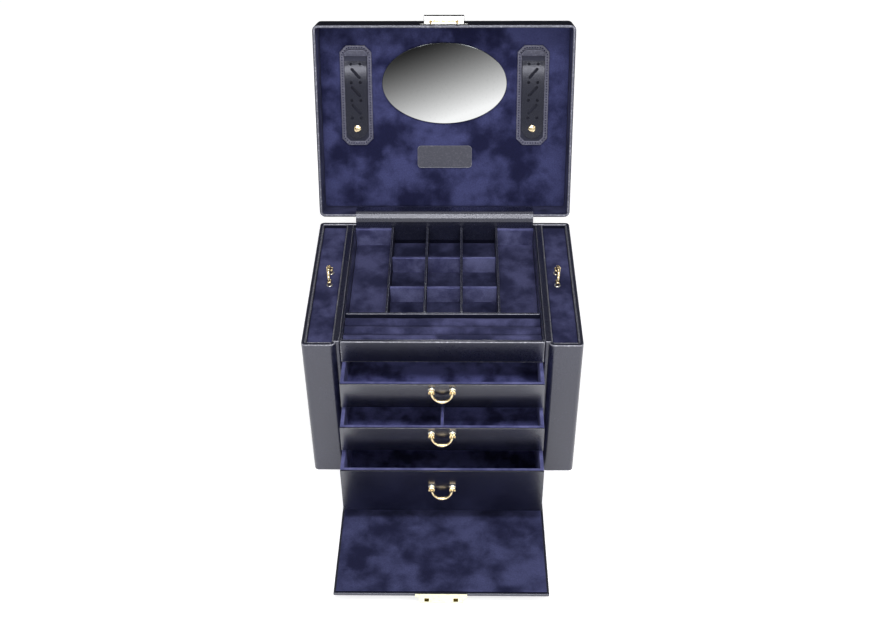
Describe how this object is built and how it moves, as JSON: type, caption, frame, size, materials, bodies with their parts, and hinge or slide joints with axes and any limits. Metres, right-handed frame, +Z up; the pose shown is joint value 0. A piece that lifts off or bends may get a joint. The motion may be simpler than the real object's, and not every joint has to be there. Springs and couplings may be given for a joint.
{
  "type": "jewelry case",
  "caption": "Leather-covered jewelry case with a lined leaning lid, a lined front flap, stacked pull-out drawers, a compartment tray and lift-out necklace panels.",
  "frame": {"origin": "middle of the casing's underside, on the surface that the case stands on", "axes": "+X to the case's right seen from the front, +Y to the back, +Z up; the drawers open towards -Y"},
  "size_m": [0.34, 0.5923, 0.482],
  "materials": {
    "leather": "smooth dark navy leather over board, semi-gloss, edges turned and lightly burnished",
    "suede": "navy micro-suede with a brushed, mottled nap",
    "brass": "polished pale gold plate",
    "nickel": "polished nickel plate",
    "mirror": "silvered glass with a fine bevelled edge"
  },
  "bodies": {
    "casing": {"casing_bottom": "leather", "casing_back": "leather", "casing_left_side": "leather", "casing_right_side": "leather", "column_left": "leather", "column_right": "leather", "plinth": "leather", "shelf_1": "leather", "shelf_2": "leather", "tray_box": "leather", "tray_front_panel": "leather", "tray_partition_1": "leather", "tray_partition_2": "leather", "tray_partition_3": "leather", "tray_partition_4": "leather", "tray_divider_front": "suede", "tray_divider_back": "suede", "ring_wall": "leather", "ring_roll_pad": "suede", "tray_back_pad_left": "suede", "tray_back_pad_right": "suede", "lid_hinge_strap": "leather", "flap_hinge_strip": "leather"},
    "lid": {"lid_shell": "leather", "lid_lining": "suede", "mirror": "mirror", "label_plate": "leather", "strap_plate_left": "leather", "strap_plate_right": "leather", "lid_lock_plate": "nickel", "lid_lock_hooks": "nickel"},
    "earring_strap_left": {"earring_strap_left": "leather", "snap_cap_left": "brass"},
    "earring_strap_right": {"earring_strap_right": "leather", "snap_cap_right": "brass"},
    "flap": {"flap_board": "leather", "flap_lining": "suede", "flap_lock_case": "nickel"},
    "flap_lock_slider": {"flap_lock_slider": "nickel"},
    "drawer_1": {"drawer_1_front": "leather", "drawer_1_tray": "suede", "drawer_1_posts": "nickel"},
    "drawer_1_bail": {"drawer_1_bail": "brass"},
    "drawer_2": {"drawer_2_front": "leather", "drawer_2_tray": "suede", "drawer_2_posts": "nickel", "drawer_2_divider": "suede"},
    "drawer_2_bail": {"drawer_2_bail": "brass"},
    "drawer_3": {"drawer_3_front": "leather", "drawer_3_tray": "suede", "drawer_3_posts": "nickel"},
    "drawer_3_bail": {"drawer_3_bail": "brass"},
    "necklace_panel_left": {"necklace_panel_left": "suede", "necklace_panel_left_posts": "nickel", "necklace_hooks_left": "brass"},
    "necklace_panel_left_bail": {"necklace_panel_left_bail": "brass"},
    "necklace_panel_right": {"necklace_panel_right": "suede", "necklace_panel_right_posts": "nickel", "necklace_hooks_right": "brass"},
    "necklace_panel_right_bail": {"necklace_panel_right_bail": "brass"}
  },
  "joints": [
    {"name": "lid_hinge", "type": "hinge", "parent": "casing", "child": "lid", "pos_m": [0, 0.13, 0.2249], "axis": [-1, 0, 0], "range_deg": [-108.66, 0], "deforming": ["lid_hinge_strap"]},
    {"name": "flap_hinge", "type": "hinge", "parent": "casing", "child": "flap", "pos_m": [0, -0.1278, 0.0003], "axis": [1, 0, 0], "range_deg": [-9, 0], "deforming": ["flap_hinge_strip"]},
    {"name": "flap_lock_slide", "type": "slide", "parent": "flap", "child": "flap_lock_slider", "axis": [1, 0, 0], "range_m": [0, 0.004]},
    {"name": "drawer_1_slide", "type": "slide", "parent": "casing", "child": "drawer_1", "axis": [0, -1, 0], "range_m": [-0.0393, 0.1107]},
    {"name": "drawer_1_bail_hinge", "type": "hinge", "parent": "drawer_1", "child": "drawer_1_bail", "pos_m": [0, -0.1656, 0.1764], "axis": [-1, 0, 0], "range_deg": [0, 95]},
    {"name": "drawer_2_slide", "type": "slide", "parent": "casing", "child": "drawer_2", "axis": [0, -1, 0], "range_m": [-0.0699, 0.0801]},
    {"name": "drawer_2_bail_hinge", "type": "hinge", "parent": "drawer_2", "child": "drawer_2_bail", "pos_m": [0, -0.1962, 0.1336], "axis": [-1, 0, 0], "range_deg": [0, 95]},
    {"name": "drawer_3_slide", "type": "slide", "parent": "casing", "child": "drawer_3", "axis": [0, -1, 0], "range_m": [-0.1002, 0.0498]},
    {"name": "drawer_3_bail_hinge", "type": "hinge", "parent": "drawer_3", "child": "drawer_3_bail", "pos_m": [0, -0.2265, 0.0724], "axis": [-1, 0, 0], "range_deg": [0, 95]},
    {"name": "necklace_panel_left_slide", "type": "slide", "parent": "casing", "child": "necklace_panel_left", "axis": [0, 0, 1], "range_m": [0, 0.17]},
    {"name": "necklace_panel_left_bail_hinge", "type": "hinge", "parent": "necklace_panel_left", "child": "necklace_panel_left_bail", "pos_m": [-0.1455, 0.004, 0.2218], "axis": [0, -1, 0], "range_deg": [-91, 79]},
    {"name": "necklace_panel_right_slide", "type": "slide", "parent": "casing", "child": "necklace_panel_right", "axis": [0, 0, 1], "range_m": [0, 0.17]},
    {"name": "necklace_panel_right_bail_hinge", "type": "hinge", "parent": "necklace_panel_right", "child": "necklace_panel_right_bail", "pos_m": [0.1455, 0.004, 0.2218], "axis": [0, 1, 0], "range_deg": [-91, 79]},
    {"name": "earring_strap_left_hinge", "type": "hinge", "parent": "lid", "child": "earring_strap_left", "pos_m": [-0.1182, 0.22804, 0.41925], "axis": [-1, 0, 0], "range_deg": [0, 120]},
    {"name": "earring_strap_right_hinge", "type": "hinge", "parent": "lid", "child": "earring_strap_right", "pos_m": [0.1182, 0.22804, 0.41925], "axis": [-1, 0, 0], "range_deg": [0, 120]}
  ]
}
